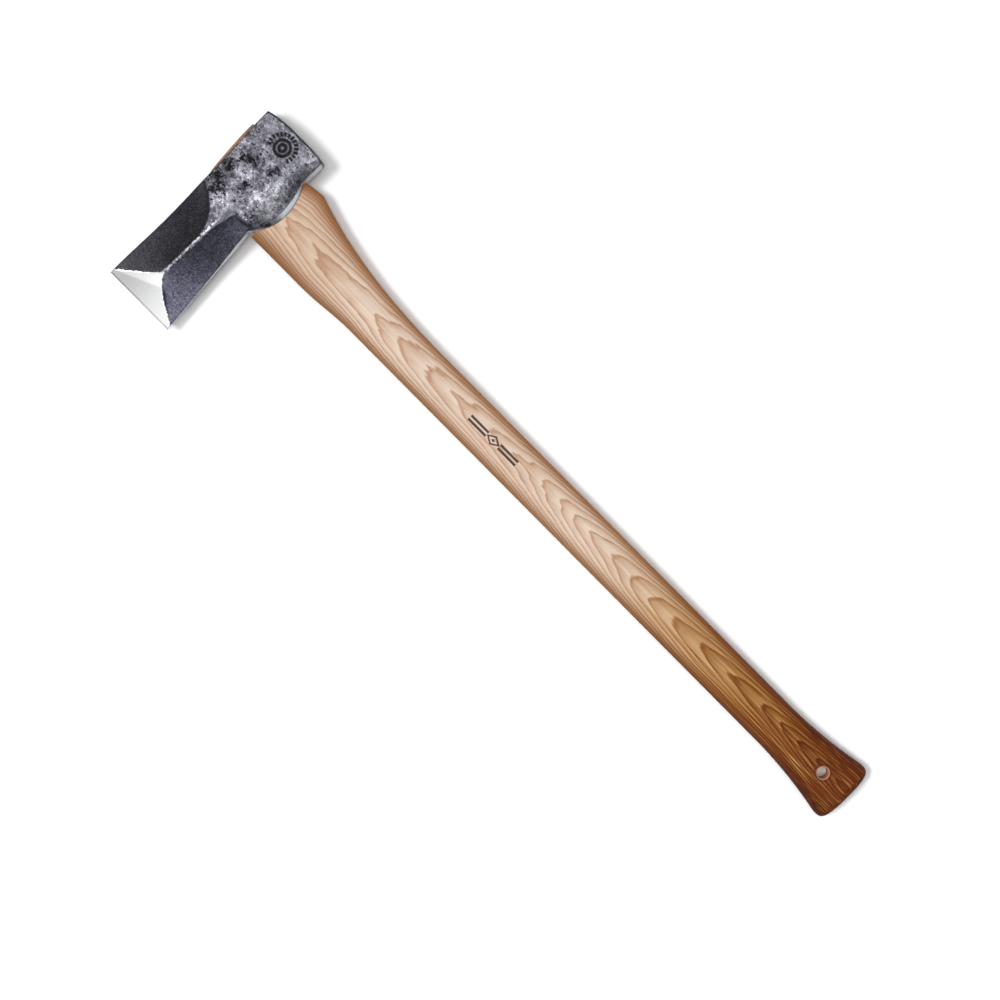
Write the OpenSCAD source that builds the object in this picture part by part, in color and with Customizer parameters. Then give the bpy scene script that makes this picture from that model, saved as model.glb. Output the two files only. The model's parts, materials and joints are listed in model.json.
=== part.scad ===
// Splitting maul: a forged steel head wedged onto a straight ash handle, lying flat on its cheek.
//
// Two frames are used. Inside each part, x runs down the handle from the wood's proud end above the
// head, y runs from the cutting edge to the poll, z is across the thickness, and y = z = 0 is the
// handle's centre line. lie_down() then rests the whole tool on its cheek and its knob, with +X
// along the handle, +Y towards the poll, +Z up, and the origin on the floor under the middle.

/* [Overall] */
// Length from the proud end of the wood to the end of the knob
overall_length = 800; // [650:5:950]
// How far the wood stands proud of the head at the rear of the eye
proud_wood = 4.6; // [2:0.1:5]

/* [Head outline] */
// Distance from the handle's centre line to the poll face
poll_reach = 67.5; // [58:0.5:80]
// Distance from the handle's centre line to the cutting edge
edge_reach = 136.5; // [120:0.5:160]
// Height of the poll face, along the handle
poll_height = 67; // [64:0.5:72]
// Height of the head at its waist, just in front of the eye
waist_height = 60; // [56:0.5:63]
// Length of the cutting edge, along the handle
edge_length = 72.3; // [66:0.1:84]
// Crown of the poll face at its corners
poll_crown = 3; // [0:0.1:5]

/* [Head thickness] */
// Thickness over the cheeks at the eye
cheek_thickness = 48.5; // [46:0.5:56]
// Thickness of the poll
poll_thickness = 43.5; // [42:0.5:48]
// Thickness of the ridge where the ground bevel starts
ridge_thickness = 22.5; // [18:0.5:26]
// Taper of the ridge, in millimetres of thickness for each millimetre along the bit
ridge_taper = 0.4; // [0.3:0.01:0.45]
// Thickness of the thin upper and lower borders of the bit
border_thickness = 3.6; // [3:0.1:6]
// Length of the ground bevel, measured along the ridge
bevel_length = 34.5; // [28:0.5:40]
// Width of the flat left along the cutting edge
edge_flat = 1.4; // [0.6:0.1:2]

/* [Lugs] */
// Radius of the rounded lugs that reach down over the handle's shoulder
lug_radius = 48; // [47:0.5:50]
// How far the lugs reach below the underside of the poll
lug_drop = 10.2; // [9:0.1:13]

/* [Eye and wedges] */
// Length of the eye, from its front to its rear
eye_length = 56; // [50:0.5:57]
// Width of the eye at the underside of the head
eye_width = 26; // [22:0.5:28]
// How much wider the eye is at the top than at the underside
eye_flare = 2.4; // [0:0.1:3]
// Thickness of the wooden wedge at its top
wedge_thickness = 6.4; // [4:0.1:8]
// Depth to which the wooden wedge is driven
wedge_depth = 48; // [40:1:54]
// Outer diameter of the steel ring wedge
ring_diameter = 19; // [16:0.5:21]
// Depth to which the ring wedge is driven
ring_depth = 24; // [18:1:30]

/* [Handle] */
// Width of the shaft, across the flat of the grip
shaft_width = 43.6; // [38:0.2:46]
// Thickness of the shaft
shaft_thickness = 30; // [28:0.5:33]
// Thickness of the shoulder under the head
shoulder_thickness = 34; // [32:0.5:36]
// Distance from the centre line to the top of the swell behind the head
swell_reach = 46.2; // [44:0.1:48]
// Width of the knob at its widest
knob_width = 60; // [52:0.2:66]
// Thickness of the knob
knob_thickness = 33; // [32:0.5:36]
// Diameter of the hanging hole
hang_hole_diameter = 10.8; // [8:0.2:12]
// Distance from the end of the knob to the centre of the hanging hole
hang_hole_inset = 32; // [26:1:40]

/* [Hidden] */

// Levels along the handle, from the proud end of the wood
poll_top = 2.7;
poll_bottom = poll_top + poll_height;
waist_top = 6;
waist_bottom = waist_top + waist_height;
toe_level = 3.8;
heel_level = toe_level + edge_length;
ridge_level = 40;

// Places along the head, from the handle's centre line
waist_front = -36;
bevel_start = -edge_reach + bevel_length;
shoulder_line = -33;
shoulder_fade = 31;
shoulder_slope = 0.8;

// Half thicknesses
cheek_half = cheek_thickness / 2;
poll_half = poll_thickness / 2;
ridge_half = ridge_thickness / 2;
border_half = border_thickness / 2;
shoulder_half = 18;

// The flat of the cheeks, and how far they fall away from it at their upper edge, lugs and poll
flat_half = 16;
cheek_fall = 3.5;
lug_fall = 6;
poll_fall = 0.8;
fall_power = 1.6;
hollow_power = 1.45;
crease = 1.5;
arris = 1.5;
crown_start = 10;
crown_run = 25;

// Lugs
lug_centre = [poll_bottom + lug_drop - lug_radius, 10];
lug_rear = lug_centre.y + sqrt(pow(lug_radius, 2) - pow(poll_bottom - lug_centre.x, 2));
lug_front = lug_centre.y - sqrt(pow(lug_radius, 2) - pow(waist_bottom - lug_centre.x, 2));
lug_clearance = 0.15;

// Eye: an oval that leans rearwards towards the top
eye_rear = 43.2;
eye_rear_level = poll_top + 2;
eye_centre = eye_rear - eye_length / 2;
eye_lean = 2.4;
eye_sides = 48;
eye_roundness = 2.3;
eye_top_level = -8;
eye_bottom_level = 100;
saw_kerf = 1.8;
saw_depth = 58;
ring_wall = 1.8;
ring_lip = 0.6;
end_slope = 3.8;

// Handle
handle_start = poll_bottom + 0.5;
swell_level = 90;
swell_run = 190;
swell_power = 2.6;
swell_drop = 3.4;
swell_drop_run = 22;
swell_drop_power = 1.5;
shaft_half = shaft_width / 2;
front_swell = 3.6;
front_swell_level = 135;
front_swell_run = 55;
thinning_level = 95;
thinning_run = 100;
taper_level = 268;
flare_run = 95;
flare_power = 2;
end_radius = 12;
end_roundness = 4;
section_sides = 28;
section_roundness = 2.25;
rim_width = 1.6;
hang_hole_level = overall_length - hang_hole_inset;
through = 200;

// Lying pose: the tool rests on the cheek below the ridge and on the rim of the knob
knob_rest_level = overall_length - end_radius;
lay_angle = atan((cheek_thickness - knob_thickness) / 2 / (knob_rest_level - ridge_level));
rest_lift = cheek_half * cos(lay_angle) + ridge_level * sin(lay_angle);

function clamp(t) = min(1, max(0, t));
function ease(t) = let (c = clamp(t)) c * c * (3 - 2 * c);
function mix(a, b, t) = a + (b - a) * t;
function soft_min(a, b, r) = min(a, b) - pow(max(0, r - abs(a - b)), 2) / (4 * r);
function signed_power(v, p) = sign(v) * pow(abs(v), p);

// ---- Shape of the head ----

// Upper edge of the head at distance y from the handle's centre line
function top_edge(y) =
    y > waist_front
    ? mix(waist_top, poll_top, ease((y - waist_front) / (poll_reach - waist_front)))
    : mix(waist_top, toe_level, ease((waist_front - y) / (edge_reach + waist_front)));

// Lower edge of the head: the poll, the round lug, then a straight run out to the heel
function bottom_edge(y) =
    y >= lug_rear ? poll_bottom
    : y > lug_front ? lug_centre.x + sqrt(pow(lug_radius, 2) - pow(y - lug_centre.y, 2))
    : mix(waist_bottom, heel_level, (lug_front - y) / (edge_reach + lug_front));

// Half thickness of the forged cheeks, where t is 0 up to the rim of their flat and 1 at an edge.
// The flats lean by lay_angle, so that the tool lies on one of them and on its knob.
function cheek(level, y, t, fall) =
    let (to_poll = clamp((y - lug_rear) / (poll_reach - lug_rear)))
    let (flat = cheek_half - (level - ridge_level) * tan(lay_angle))
    mix(flat, poll_half, to_poll) - mix(fall, poll_fall, to_poll) * pow(t, fall_power);

// Half thickness of the thin border of the bit
function border(y) =
    y > shoulder_line
    ? shoulder_half + shoulder_slope * (y - shoulder_line)
    : mix(border_half, shoulder_half, exp(-pow((shoulder_line - y) / shoulder_fade, 2)));

// Half thickness of the hollow-sided bit, where s is 0 on the ridge and 1 at a border
function bit(y, s) =
    let (ridge = ridge_half + ridge_taper / 2 * (y - bevel_start))
    mix(border(y), ridge, pow(1 - s, hollow_power));

// A point of a section through the head, as [level, distance, half thickness]
function section_point(y, level, edge, fall) =
    let (reach = abs(edge - ridge_level))
    let (out = abs(level - ridge_level))
    let (t = max(0, out - flat_half) / (reach - flat_half))
    let (crown = poll_crown * pow(max(0, out - crown_start) / crown_run, 2))
    let (to_poll = clamp((y - lug_rear) / (poll_reach - lug_rear)))
    let (z = soft_min(cheek(level, y, t, fall), bit(y, out / reach), crease))
    [level, y - crown * to_poll, z - (t > 0.999 ? min(arris, border_half / 2) : 0)];

// One side of a section, from the upper edge over the ridge to the lower edge
rim_steps = [1, 0.93, 0.75, 0.5, 0.25];
function head_side(y) =
    let (top = top_edge(y))
    let (bottom = bottom_edge(y))
    concat(
        [for (t = rim_steps) section_point(y, mix(ridge_level - flat_half, top, t), top, cheek_fall)],
        [for (k = [-2:2]) section_point(y, ridge_level + flat_half * k / 2, k < 0 ? top : bottom, 0)],
        [for (i = [len(rim_steps) - 1:-1:0])
            section_point(y, mix(ridge_level + flat_half, bottom, rim_steps[i]), bottom, lug_fall)]
    );

// Stations along the head: the bit, the lugs at equal angles, and the poll
bit_stations = 18;
lug_stations = 16;
poll_stations = 5;
lug_angle_front = asin((lug_front - lug_centre.y) / lug_radius);
lug_angle_rear = asin((lug_rear - lug_centre.y) / lug_radius);
head_stations = concat(
    [for (i = [0:bit_stations - 1]) mix(-edge_reach, lug_front, i / bit_stations)],
    [for (i = [0:lug_stations - 1])
        lug_centre.y + lug_radius * sin(mix(lug_angle_front, lug_angle_rear, i / lug_stations))],
    [for (i = [0:poll_stations]) mix(lug_rear, poll_reach, i / poll_stations)]
);

// The forging before the eye is punched and the bevels are ground
module forging() {
    n = 2 * len(rim_steps) + 5;
    rings = [for (y = head_stations)
        let (side = head_side(y))
        concat(side, [for (i = [n - 1:-1:0]) [side[i].x, side[i].y, -side[i].z]])];
    last = (len(rings) - 1) * 2 * n;
    polyhedron(
        points = [for (ring = rings) each ring],
        faces = concat(
            skin(len(rings), 2 * n),
            [for (i = [0:n - 2]) each [[i, i + 1, 2 * n - 2 - i], [i, 2 * n - 2 - i, 2 * n - 1 - i]]],
            [for (i = [0:n - 2]) each [
                [last + i, last + 2 * n - 2 - i, last + i + 1],
                [last + i, last + 2 * n - 1 - i, last + 2 * n - 2 - i]]]
        )
    );
}

// Two flat grinds that meet along the cutting edge
module bevel_envelope() {
    far = 100;
    slope = (ridge_half - edge_flat / 2) / bevel_length;
    rise = edge_flat / 2 + slope * (far + edge_reach);
    rotate([90, 0, 90])
        translate([0, 0, -far])
            linear_extrude(height = 3 * far)
                polygon([
                    [-edge_reach, -edge_flat / 2],
                    [far, -rise],
                    [far, rise],
                    [-edge_reach, edge_flat / 2]
                ]);
}

// ---- Shapes shared by the head, the handle and the wedges ----

// Triangles that join rings of n points each
function skin(rings, n) = [
    for (j = [0:rings - 2])
        for (i = [0:n - 1])
            let (a = j * n + i, b = j * n + (i + 1) % n)
                each [[a, a + n, b + n], [a, b + n, b]]
];

function oval(level, centre, half_length, half_width, roundness, sides) = [
    for (i = [0:sides - 1])
        let (angle = 360 * i / sides)
        [level,
         centre + half_length * signed_power(cos(angle), 2 / roundness),
         half_width * signed_power(sin(angle), 2 / roundness)]
];

module oval_loft(rings, sides) {
    last = (len(rings) - 1) * sides;
    polyhedron(
        points = [for (ring = rings) each ring],
        faces = concat(
            skin(len(rings), sides),
            [[for (i = [0:sides - 1]) i]],
            [[for (i = [sides - 1:-1:0]) last + i]]
        )
    );
}

// The space inside the eye, carried on past both ends of the head
function eye_ring(level) =
    let (up = (poll_bottom - level) / poll_height)
    oval(level, eye_centre + eye_lean * up, (eye_length + eye_flare * up) / 2,
         (eye_width + eye_flare * up) / 2, eye_roundness, eye_sides);
module eye_space() {
    oval_loft([eye_ring(eye_top_level), eye_ring(eye_bottom_level)], eye_sides);
}

// Everything below the sloping end of the wood
module below_end() {
    translate([eye_rear_level - proud_wood, eye_rear, 0])
        rotate([0, 0, end_slope])
            translate([0, -through / 2, -through / 2])
                cube([through, through, through]);
}

module ring_shape() {
    outer = ring_diameter / 2;
    translate([eye_top_level, eye_centre, 0])
        rotate([0, 90, 0])
            difference() {
                cylinder(h = ring_depth - eye_top_level, r = outer, $fn = 96);
                translate([0, 0, -1])
                    cylinder(h = ring_depth - eye_top_level + 2, r1 = outer - ring_wall,
                             r2 = outer - ring_lip, $fn = 96);
            }
}

module wedge_shape() {
    top = wedge_thickness / 2;
    tip = saw_kerf / 2;
    rotate([90, 0, 0])
        translate([0, 0, -through / 2])
            linear_extrude(height = through)
                polygon([[0, -top], [wedge_depth, -tip], [wedge_depth, tip], [0, top],
                         [eye_top_level, top + 1], [eye_top_level, -top - 1]]);
}

// ---- Shape of the handle ----

function rear_edge(x) =
    let (after = pow(max(0, 1 - (x - swell_level) / swell_run), swell_power))
    let (before = pow(max(0, swell_level - x) / swell_drop_run, swell_drop_power))
    x < swell_level ? swell_reach - swell_drop * before : mix(shaft_half, swell_reach, after);
function front_edge(x) = shaft_half + front_swell * (1 - ease((x - front_swell_level) / front_swell_run));
function flare(x) = pow(clamp((x - overall_length + flare_run) / (flare_run - end_radius)), flare_power);
function end_factor(x) =
    pow(1 - pow(max(0, x - knob_rest_level) / end_radius, end_roundness), 1 / end_roundness);
function thickness(x) =
    let (thinned = ease((x - thinning_level) / thinning_run))
    let (body = mix(shoulder_thickness, shaft_thickness, thinned))
    mix(body, knob_thickness, flare(x));
function shaft_ring(x) =
    let (widen = (knob_width - shaft_width) / 2 * flare(x))
    let (rear = rear_edge(x) + widen)
    let (front = front_edge(x) + widen)
    oval(x, (rear - front) / 2, (rear + front) / 2 * end_factor(x), thickness(x) / 2 * end_factor(x),
         section_roundness, section_sides);

flare_level = overall_length - flare_run;
handle_stations = concat(
    [for (x = [60:5:115]) x],
    [for (x = [124:12:taper_level]) x],
    [for (i = [1:8]) mix(taper_level, flare_level, i / 8)],
    [for (i = [1:12]) mix(flare_level, knob_rest_level, i / 12)],
    [for (t = [0.2, 0.4, 0.6, 0.75, 0.87, 0.95, 0.99]) knob_rest_level + end_radius * t]
);

// The shoulder butts against the lugs and leaves a small gap under the poll and the waist
module shaft() {
    difference() {
        oval_loft([for (x = handle_stations) shaft_ring(x)], section_sides);
        translate([lug_centre.x, lug_centre.y, -through / 2])
            cylinder(h = through, r = lug_radius + lug_clearance, $fn = 180);
        translate([0, -through / 2, -through / 2])
            cube([handle_start, through, through]);
    }
}

// Hanging hole with a broken edge at both faces
module hang_hole() {
    r = hang_hole_diameter / 2;
    translate([hang_hole_level, 0, 0]) {
        cylinder(h = through, r = r, center = true, $fn = 64);
        for (side = [-1, 1])
            rotate([side * 90 - 90, 0, 0])
                translate([0, 0, thickness(hang_hole_level) / 2 - rim_width])
                    cylinder(h = 3 * rim_width, r1 = r, r2 = r + 3 * rim_width, $fn = 64);
    }
}

// ---- The parts ----

module lie_down() {
    translate([-overall_length / 2, (edge_reach - poll_reach) / 2, rest_lift])
        rotate([0, lay_angle, 0])
            children();
}

// Forged head with its eye, lugs, hollow-sided bit, ground bevels and crowned poll
module head() {
    color("dimgray") lie_down() difference() {
        intersection() {
            forging();
            bevel_envelope();
        }
        eye_space();
    }
}

// Ash handle: tenon with its saw kerf, shoulder, shaft, flared knob and hanging hole
module handle() {
    color("burlywood") lie_down() difference() {
        union() {
            shaft();
            intersection() {
                eye_space();
                below_end();
            }
        }
        wedge_shape();
        translate([0, -through / 2, -saw_kerf / 2])
            cube([saw_depth, through, saw_kerf]);
        ring_shape();
        hang_hole();
    }
}

// Hardwood wedge driven into the tenon's kerf, as long as the eye
module kerf_wedge() {
    color("peru") lie_down() difference() {
        intersection() {
            wedge_shape();
            eye_space();
            below_end();
        }
        ring_shape();
    }
}

// Steel ring driven across the tenon and the wooden wedge
module ring_wedge() {
    color("silver") lie_down() intersection() {
        ring_shape();
        below_end();
    }
}

head();
handle();
kerf_wedge();
ring_wedge();
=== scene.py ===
import json
import math
from types import SimpleNamespace

import bpy
import numpy as np
from mathutils import Matrix, Vector


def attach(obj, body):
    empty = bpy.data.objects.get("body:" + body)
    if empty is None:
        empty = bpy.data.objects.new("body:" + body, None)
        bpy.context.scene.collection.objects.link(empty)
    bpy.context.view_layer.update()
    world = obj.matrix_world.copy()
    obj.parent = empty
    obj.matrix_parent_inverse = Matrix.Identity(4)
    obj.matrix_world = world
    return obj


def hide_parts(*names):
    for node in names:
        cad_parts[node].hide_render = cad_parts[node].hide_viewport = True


# A splitting maul lying on its cheek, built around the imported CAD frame.
# Shapes are worked out in the tool's own frame, in millimetres: level runs down the handle from the
# wood's proud end, y runs from the cutting edge to the poll, z is across the thickness, and y = z = 0
# is the handle's centre line. to_row() lays them down as the CAD parts lie.

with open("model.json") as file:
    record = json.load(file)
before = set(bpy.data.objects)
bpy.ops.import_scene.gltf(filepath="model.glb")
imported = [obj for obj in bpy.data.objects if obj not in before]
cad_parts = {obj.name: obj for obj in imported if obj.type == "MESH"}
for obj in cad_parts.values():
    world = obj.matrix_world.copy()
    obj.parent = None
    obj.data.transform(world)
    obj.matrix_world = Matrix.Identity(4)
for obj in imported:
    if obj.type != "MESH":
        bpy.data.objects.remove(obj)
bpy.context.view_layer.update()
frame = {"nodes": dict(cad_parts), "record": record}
MOUNTS = {m["name"]: m for m in frame["record"]["mounts"]}

# ---- Sizes, as in the CAD source ----

OVERALL = 800.0
HOLE_FROM_END = 32.0
HOLE_LEVEL = OVERALL - HOLE_FROM_END
HOLE_RADIUS = MOUNTS["hang_hole"]["dims"]["r_mm"]

POLL_REACH, EDGE_REACH = 67.5, 136.5
POLL_TOP, POLL_BOTTOM, POLL_CROWN = 2.7, 69.7, 3.0
WAIST_TOP, WAIST_BOTTOM, WAIST_Y = 6.0, 66.0, -36.0
TOE_LEVEL, HEEL_LEVEL = 3.8, 76.1
RIDGE_LEVEL, FLAT_HALF = 40.0, 16.0
CHEEK_HALF, POLL_HALF, RIDGE_HALF, BORDER_HALF = 24.25, 21.75, 11.25, 1.8
RIDGE_SLOPE = 0.2
BEVEL_Y = -101.5
EDGE_HALF = 0.7
LUG_LEVEL, LUG_Y, LUG_RADIUS = 31.9, 10.0, 48.0
LUG_FRONT = LUG_Y - math.sqrt(LUG_RADIUS**2 - (WAIST_BOTTOM - LUG_LEVEL) ** 2)
LUG_REAR = LUG_Y + math.sqrt(LUG_RADIUS**2 - (POLL_BOTTOM - LUG_LEVEL) ** 2)
UPPER_FALL, LUG_FALL, POLL_FALL = 3.5, 6.0, 0.8

EYE_REAR, EYE_LENGTH, EYE_WIDTH = 43.2, 56.0, 26.0
EYE_CENTRE = EYE_REAR - EYE_LENGTH / 2
EYE_FLARE, EYE_LEAN, EYE_ROUNDNESS = 2.4, 2.4, 2.3
END_LEVEL, END_SLOPE = 0.1, math.tan(math.radians(3.8))
WEDGE_HALF, WEDGE_TIP_HALF, WEDGE_DEPTH = 3.2, 0.9, 48.0
KERF_DEPTH = 58.0
RING_RADIUS, RING_WALL, RING_LIP, RING_DEPTH, RING_TOP = 9.5, 1.8, 0.6, 24.0, -9.0

SHAFT_HALF, SWELL_REACH, SWELL_LEVEL = 21.8, 46.2, 90.0
KNOB_LENGTH, KNOB_ROUNDING = 95.0, 12.0
KNOB_START, KNOB_END = OVERALL - KNOB_LENGTH, OVERALL - KNOB_ROUNDING

# ---- The tool's frame in the row ----

UP = Vector(MOUNTS["hang_hole"]["axis"])
ALONG = Vector((UP.z, 0, -UP.x))
ACROSS = Vector((0, 1, 0))
START = Vector(MOUNTS["hang_hole"]["pos_m"]) - ALONG * HOLE_LEVEL / 1000
AXES = np.array([ALONG, ACROSS, UP])
LEAN = math.asin(UP.x)


def to_row(points):
    """Points of the tool's frame in millimetres, as row points in metres."""
    return np.array(START) + np.asarray(points, float) / 1000 @ AXES


# ---- Numbers ----


def clamp(t):
    return np.clip(t, 0.0, 1.0)


def ease(t):
    t = clamp(t)
    return t * t * (3 - 2 * t)


def step(low, high, x):
    return ease((x - low) / (high - low))


def mix(a, b, t):
    return a + (b - a) * t


def soft_min(a, b, r):
    return np.minimum(a, b) - np.maximum(0, r - np.abs(a - b)) ** 2 / (4 * r)


def signed_power(v, p):
    return np.sign(v) * np.abs(v) ** p


def hashed(cells, seed):
    """A repeatable random number from -1 to 1 for each whole-number cell."""
    c = cells.astype(np.int64).astype(np.uint64)
    h = c[..., 0] * np.uint64(73856093) ^ c[..., 1] * np.uint64(19349663)
    h = h ^ c[..., 2] * np.uint64(83492791) ^ np.uint64(seed * 2654435761)
    h = (h ^ (h >> np.uint64(29))) * np.uint64(0xBF58476D1CE4E5B9)
    h = (h ^ (h >> np.uint64(32))) * np.uint64(0x94D049BB133111EB)
    return (h >> np.uint64(40)).astype(float) / 2**23 - 1


def noise(points, size, seed, octaves=1):
    """Smooth noise from about -1 to 1 over features of this size in millimetres."""
    total, weight, gain = 0.0, 0.0, 1.0
    for k in range(octaves):
        p = np.asarray(points, float) / size * 2**k
        cell = np.floor(p)
        f = ease(p - cell)
        value = 0.0
        for corner in np.ndindex(2, 2, 2):
            w = np.prod(np.where(corner, f, 1 - f), axis=-1)
            value = value + w * hashed(cell + corner, seed + k)
        total, weight, gain = total + gain * value, weight + gain, gain * 0.5
    return total / weight


# ---- Meshes ----

SECTION_SIDES = 96


def around(sides=SECTION_SIDES):
    """Angles of the points round a section."""
    return np.arange(sides) * 2 * math.pi / sides


def add(name, data):
    """A new object in the scene."""
    obj = bpy.data.objects.new(name, data)
    bpy.context.scene.collection.objects.link(obj)
    return obj


def new_object(name, points, faces, smooth_angle=35):
    """A mesh object from points of the tool's frame."""
    mesh = bpy.data.meshes.new(name)
    mesh.from_pydata(to_row(points).tolist(), [], [tuple(f) for f in faces])
    obj = add(name, mesh)
    shade(obj, smooth_angle)
    return obj


def shade(obj, smooth_angle):
    obj.data.shade_smooth()
    obj.data.set_sharp_from_angle(angle=math.radians(smooth_angle))


def quads(rings, sides):
    """Faces between rings of as many points."""
    faces = []
    for j in range(rings - 1):
        for i in range(sides):
            a, b = j * sides + i, j * sides + (i + 1) % sides
            faces.append((a, b, b + sides, a + sides))
    return faces


def loft(name, rings):
    """A closed solid through rings of points, with flat ends."""
    count, sides = len(rings), len(rings[0])
    last = (count - 1) * sides
    ends = [tuple(range(sides - 1, -1, -1)), tuple(range(last, last + sides))]
    return new_object(name, np.concatenate(rings), quads(count, sides) + ends)


def combine(obj, other, operation):
    """Adds other to obj, takes it away or keeps what they share, and uses other up."""
    modifier = obj.modifiers.new(operation, "BOOLEAN")
    modifier.operation = operation
    modifier.solver = "EXACT"
    modifier.object = other
    graph = bpy.context.evaluated_depsgraph_get()
    mesh = bpy.data.meshes.new_from_object(obj.evaluated_get(graph), depsgraph=graph)
    obj.modifiers.clear()
    obj.data = mesh
    bpy.data.objects.remove(other)


def paint(obj, name, red, green, blue):
    """Stores three values for each point, for the material to read."""
    colours = np.ones((len(obj.data.vertices), 4))
    colours[:, 0], colours[:, 1], colours[:, 2] = red, green, blue
    layer = obj.data.attributes.new(name, "FLOAT_COLOR", "POINT")
    layer.data.foreach_set("color", colours.ravel())


def tool_points(obj):
    """The object's points back in the tool's frame, in millimetres."""
    points = np.empty(len(obj.data.vertices) * 3)
    obj.data.vertices.foreach_get("co", points)
    return (points.reshape(-1, 3) - np.array(START)) @ AXES.T * 1000


# ---- Shape of the head ----

EYE_MOUTH, CUT_ANGLE = 0.9, 40
RIDGE_DRIFT, DRIFT_START, DRIFT_RUN = 2.0, -50.0, 52.0
BULGE_POWER, RIDGE_BLEND = 1.6, 1.5
CROWN_FLAT, CROWN_RUN = 10.0, 25.0
OFF_LUG, OFF_HOLLOW = -1.0, 100.0
CHAMFER_RADIUS, CHAMFER_WIDTH, CHAMFER_SLOPE = 78.0, 4.2, 0.4
CHAMFER_LEVEL = LUG_LEVEL + LUG_RADIUS - CHAMFER_WIDTH - CHAMFER_RADIUS
HOLLOW_Y = -20.0
TAIL_WIDTH, TAIL_RUN = 33.5, 13.0
FACET_WIDTH, FACET_END, FACET_SLOPE = 7.0, -51.0, 0.24
RIDGE_FLAT = 0.5
BOSS_STEP, BOSS_FRONT, BOSS_FULL = 30.0, -23.0, -18.0
LEDGE, LEDGE_WIDTH = 0.9, 2.5
FADE_UPPER, FADE_LOWER = 39.0, 41.0
GRIND_Y, GRIND_TURN, GRIND_TILT = -133.0, math.radians(23.7), 0.05
HOLLOW_POWER = 1.45
FAN_END = -90.0
APEX_LEVEL, CORNER_Y = 38.6, -132.6
TOE_POWER, HEEL_POWER = 0.87, 0.62


def top_edge(y):
    rear = mix(WAIST_TOP, POLL_TOP, ease((y - WAIST_Y) / (POLL_REACH - WAIST_Y)))
    front = mix(WAIST_TOP, TOE_LEVEL, ease((WAIST_Y - y) / (EDGE_REACH + WAIST_Y)))
    return np.where(y > WAIST_Y, rear, front)


def bottom_edge(y):
    lug = LUG_LEVEL + np.sqrt(np.maximum(0, LUG_RADIUS**2 - (y - LUG_Y) ** 2))
    run = mix(WAIST_BOTTOM, HEEL_LEVEL, (LUG_FRONT - y) / (EDGE_REACH + LUG_FRONT))
    return np.where(y >= LUG_REAR, POLL_BOTTOM, np.where(y > LUG_FRONT, lug, run))


def ridge_line(y):
    """Level of the ridge, which drifts a little towards the toe."""
    return RIDGE_LEVEL - RIDGE_DRIFT * clamp((DRIFT_START - y) / DRIFT_RUN)


def to_poll(y):
    return clamp((y - LUG_REAR) / (POLL_REACH - LUG_REAR))


def cheek(level, y):
    """Half thickness of the forged bulge round the eye, and of the ridge that runs out of it."""
    edge = np.where(level < RIDGE_LEVEL, top_edge(y), bottom_edge(y))
    out = np.abs(level - RIDGE_LEVEL)
    t = clamp((out - FLAT_HALF) / (np.abs(edge - RIDGE_LEVEL) - FLAT_HALF))
    fall = mix(np.where(level < RIDGE_LEVEL, UPPER_FALL, LUG_FALL), POLL_FALL, to_poll(y))
    flat = CHEEK_HALF - (level - RIDGE_LEVEL) * math.tan(LEAN)
    bulge = mix(flat, POLL_HALF, to_poll(y)) - fall * t**BULGE_POWER
    return soft_min(bulge, RIDGE_HALF + RIDGE_SLOPE * (y - BEVEL_Y), RIDGE_BLEND)


def poll_crown(level):
    """How far the poll's face falls back towards its top and bottom."""
    return POLL_CROWN * (np.maximum(0, np.abs(level - RIDGE_LEVEL) - CROWN_FLAT) / CROWN_RUN) ** 2


def lug_chamfer(level, y):
    """Distance past the start of the crescent chamfer along the lug, negative before it."""
    past = np.hypot(level - CHAMFER_LEVEL, y - LUG_Y) - CHAMFER_RADIUS
    return np.where((y > LUG_FRONT) & (y < LUG_REAR) & (level > RIDGE_LEVEL), past, OFF_LUG)


def tail_edge(y):
    """Level where the bulge and its tail end and the upper hollow starts."""
    return ridge_line(y) - TAIL_WIDTH * np.exp((y - HOLLOW_Y) / TAIL_RUN)


def facet_width(y):
    return FACET_WIDTH * clamp((y - FACET_END) / (HOLLOW_Y - FACET_END))


def facet_edge(y):
    """Level where the lit facet beside the tail ends and the lower hollow starts."""
    return ridge_line(y) + RIDGE_FLAT + facet_width(y) + BOSS_STEP * step(BOSS_FRONT, BOSS_FULL, y)


def facet_drop(level, y):
    """How far the lit facet slopes down from the ridge."""
    across = np.clip(level - ridge_line(y) - RIDGE_FLAT, 0, facet_width(y))
    return FACET_SLOPE * across * step(BOSS_FULL, BOSS_FRONT, y)


def hollow(level, y, start, edge, rim, fade):
    """Half thickness inside a hollow, and the distance into it from where it leaves the bulge."""
    into = np.where(edge < RIDGE_LEVEL, start - level, level - start)
    reach = np.maximum(0.5, np.abs(start - edge))
    share = clamp(into / reach)
    border = mix(BORDER_HALF, rim, np.exp(-((np.maximum(0, HOLLOW_Y - y) / fade) ** 2)))
    crest = cheek(start, y) - facet_drop(start, y)
    ledge = LEDGE * step(0, LEDGE_WIDTH, into) * (1 - share)
    return np.where(into > 0, mix(border, crest, (1 - share) ** HOLLOW_POWER) - ledge, OFF_HOLLOW), into


def forging(level, y):
    """Half thickness before grinding, and the distances into the upper and the lower hollow."""
    upper_rim, lower_rim = CHEEK_HALF - UPPER_FALL, CHEEK_HALF - LUG_FALL
    upper, into_upper = hollow(level, y, tail_edge(y), top_edge(y), upper_rim, FADE_UPPER)
    lower, into_lower = hollow(level, y, facet_edge(y), bottom_edge(y), lower_rim, FADE_LOWER)
    body = cheek(level, y) - facet_drop(level, y)
    body = body - CHAMFER_SLOPE * np.maximum(0, lug_chamfer(level, y))
    return np.minimum(body, np.minimum(upper, lower)), into_upper, into_lower


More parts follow.
